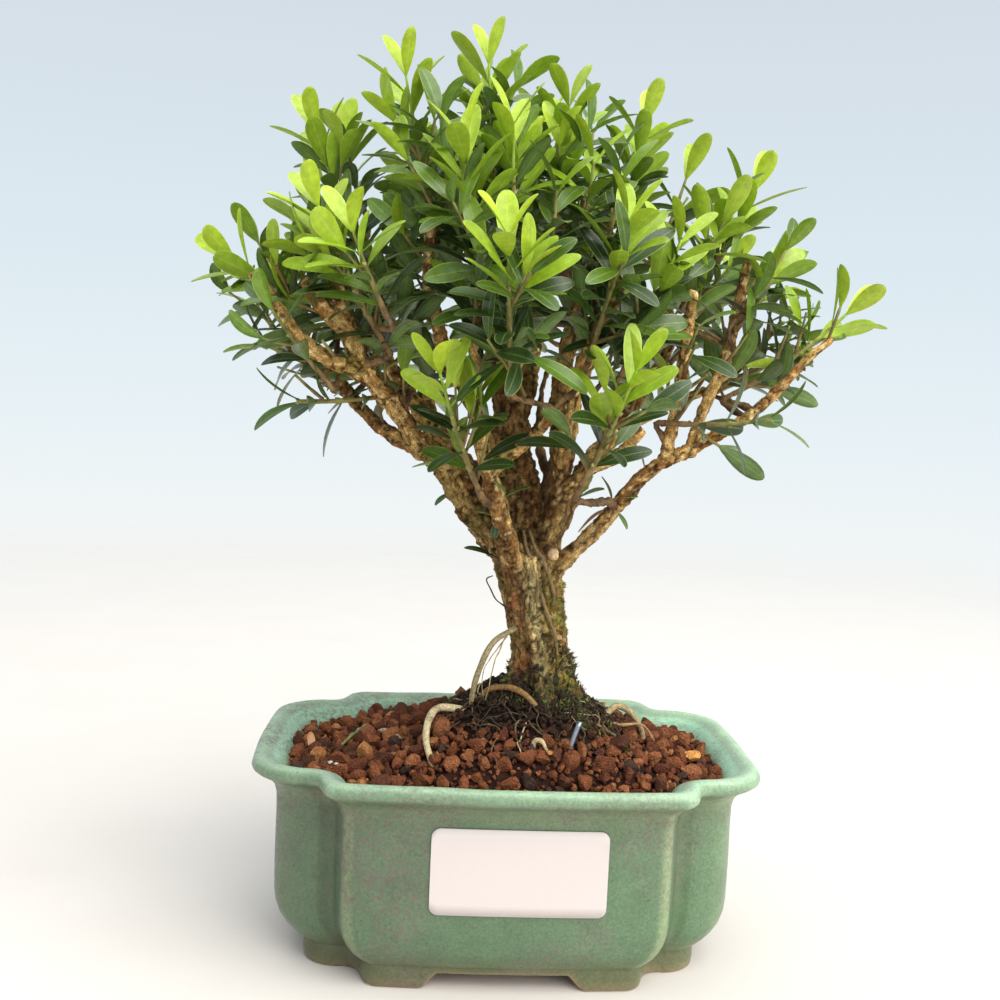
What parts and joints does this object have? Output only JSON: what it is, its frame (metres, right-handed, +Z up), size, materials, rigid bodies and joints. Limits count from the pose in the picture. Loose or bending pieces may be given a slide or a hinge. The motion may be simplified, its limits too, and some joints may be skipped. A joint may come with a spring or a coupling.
{
  "type": "harland boxwood bonsai",
  "caption": "Small potted boxwood bonsai: a corky trunk with spreading limbs, glossy dark and lime leaves, and granular soil in a lobed, glazed rectangular pot on four feet.",
  "frame": {"origin": "on the surface the pot stands on, under the middle of the whole object's length and depth", "axes": "+Z up the tree, +X along the pot's long side towards the viewer's right, -Y towards the side that carries the label"},
  "size_m": [0.2082, 0.1564, 0.2779],
  "materials": {
    "glaze": "satin",
    "soil": "matte",
    "bark": "matte",
    "old_leaf": "satin",
    "young_leaf": "satin",
    "paper": "matte",
    "wire": "satin",
    "screen": "matte"
  },
  "bodies": {
    "root": {"blank_label": "paper", "drain_screen_left": "screen", "drain_screen_right": "screen", "old_foliage_01": "old_leaf", "old_foliage_02": "old_leaf", "old_foliage_03": "old_leaf", "old_foliage_04": "old_leaf", "old_foliage_05": "old_leaf", "old_foliage_06": "old_leaf", "old_foliage_07": "old_leaf", "old_foliage_08": "old_leaf", "old_foliage_09": "old_leaf", "old_foliage_10": "old_leaf", "old_foliage_11": "old_leaf", "old_foliage_12": "old_leaf", "old_foliage_13": "old_leaf", "old_foliage_14": "old_leaf", "old_foliage_15": "old_leaf", "old_foliage_16": "old_leaf", "old_foliage_17": "old_leaf", "old_foliage_18": "old_leaf", "old_foliage_19": "old_leaf", "old_foliage_20": "old_leaf", "old_foliage_21": "old_leaf", "old_foliage_22": "old_leaf", "old_foliage_23": "old_leaf", "old_foliage_24": "old_leaf", "old_foliage_25": "old_leaf", "old_foliage_26": "old_leaf", "old_foliage_27": "old_leaf", "old_foliage_28": "old_leaf", "old_foliage_29": "old_leaf", "old_foliage_30": "old_leaf", "pot": "glaze", "soil": "soil", "tie_wire_end": "wire", "trunk_and_branches": "bark", "young_shoot_01": "young_leaf", "young_shoot_02": "young_leaf", "young_shoot_03": "young_leaf", "young_shoot_04": "young_leaf", "young_shoot_05": "young_leaf", "young_shoot_06": "young_leaf", "young_shoot_07": "young_leaf", "young_shoot_08": "young_leaf", "young_shoot_09": "young_leaf", "young_shoot_11": "young_leaf", "young_shoot_12": "young_leaf", "young_shoot_13": "young_leaf", "young_shoot_14": "young_leaf", "young_shoot_15": "young_leaf", "young_shoot_16": "young_leaf", "young_shoot_17": "young_leaf", "young_shoot_21": "young_leaf", "young_shoot_24": "young_leaf", "young_shoot_26": "young_leaf", "young_shoot_29": "young_leaf"}
  },
  "joints": []
}
